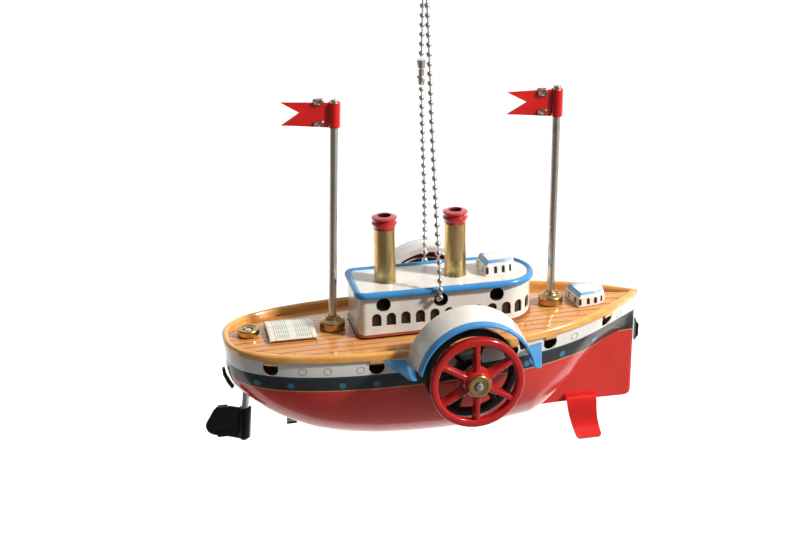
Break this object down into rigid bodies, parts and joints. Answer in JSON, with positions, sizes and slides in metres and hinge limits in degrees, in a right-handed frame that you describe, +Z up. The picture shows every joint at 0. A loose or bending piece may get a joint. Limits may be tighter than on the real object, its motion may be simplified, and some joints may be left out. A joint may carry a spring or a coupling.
{
  "type": "toy paddle steamer hanging ornament",
  "caption": "Pressed tinplate toy paddle steamer with two masts, two funnels, side paddle wheels that turn and a swinging rudder, hung from a ball chain",
  "frame": {"origin": "underside of the chain's top bend, where a hook or nail holds the ornament up", "axes": "+X to the bow, +Y to port, +Z up along the hanging chain"},
  "size_m": [0.1696, 0.098, 0.1839],
  "materials": {
    "red_paint": "gloss",
    "white_paint": "gloss",
    "blue_paint": "gloss",
    "deck_print": "gloss printed planks",
    "black_paint": "gloss",
    "brass": "turned",
    "steel": "bright"
  },
  "bodies": {
    "ship": {"hull_starboard": "red_paint", "hull_port": "red_paint", "deck": "deck_print", "cabin": "white_paint", "roof": "blue_paint", "wheelhouse": "white_paint", "deckhouse": "white_paint", "funnel_aft": "brass", "funnel_fore": "brass", "funnel_cap_aft": "red_paint", "funnel_cap_fore": "red_paint", "mast_base_aft": "brass", "mast_base_fore": "brass", "mast_aft": "steel", "mast_fore": "steel", "flag_aft": "red_paint", "flag_fore": "red_paint", "paddle_box_starboard": "white_paint", "paddle_box_port": "white_paint", "sponson_aft_starboard": "blue_paint", "sponson_fore_starboard": "blue_paint", "sponson_aft_port": "blue_paint", "sponson_fore_port": "blue_paint", "skylight": "white_paint", "rudder_eyelet": "brass", "foot_strap": "red_paint", "stem_clip": "black_paint", "stern_clip": "black_paint", "keel_tab_aft": "black_paint", "keel_tab_mid": "black_paint", "chain": "steel", "chain_connector": "steel"},
    "paddles": {"axle": "steel", "wheel_red_starboard": "red_paint", "wheel_red_port": "red_paint", "wheel_black_starboard": "black_paint", "wheel_black_port": "black_paint", "hub_washer_starboard": "brass", "hub_washer_port": "brass"},
    "rudder": {"rudder_post": "steel", "rudder_blade": "black_paint"}
  },
  "joints": [
    {"name": "paddle_spin", "type": "hinge", "parent": "ship", "child": "paddles", "pos_m": [0.0082, 0, -0.1354], "axis": [0, 1, 0], "continuous": true},
    {"name": "rudder_swing", "type": "hinge", "parent": "ship", "child": "rudder", "pos_m": [-0.067, 0, -0.1264], "axis": [0.0823, 0, 0.9966], "range_deg": [-35, 35]}
  ]
}
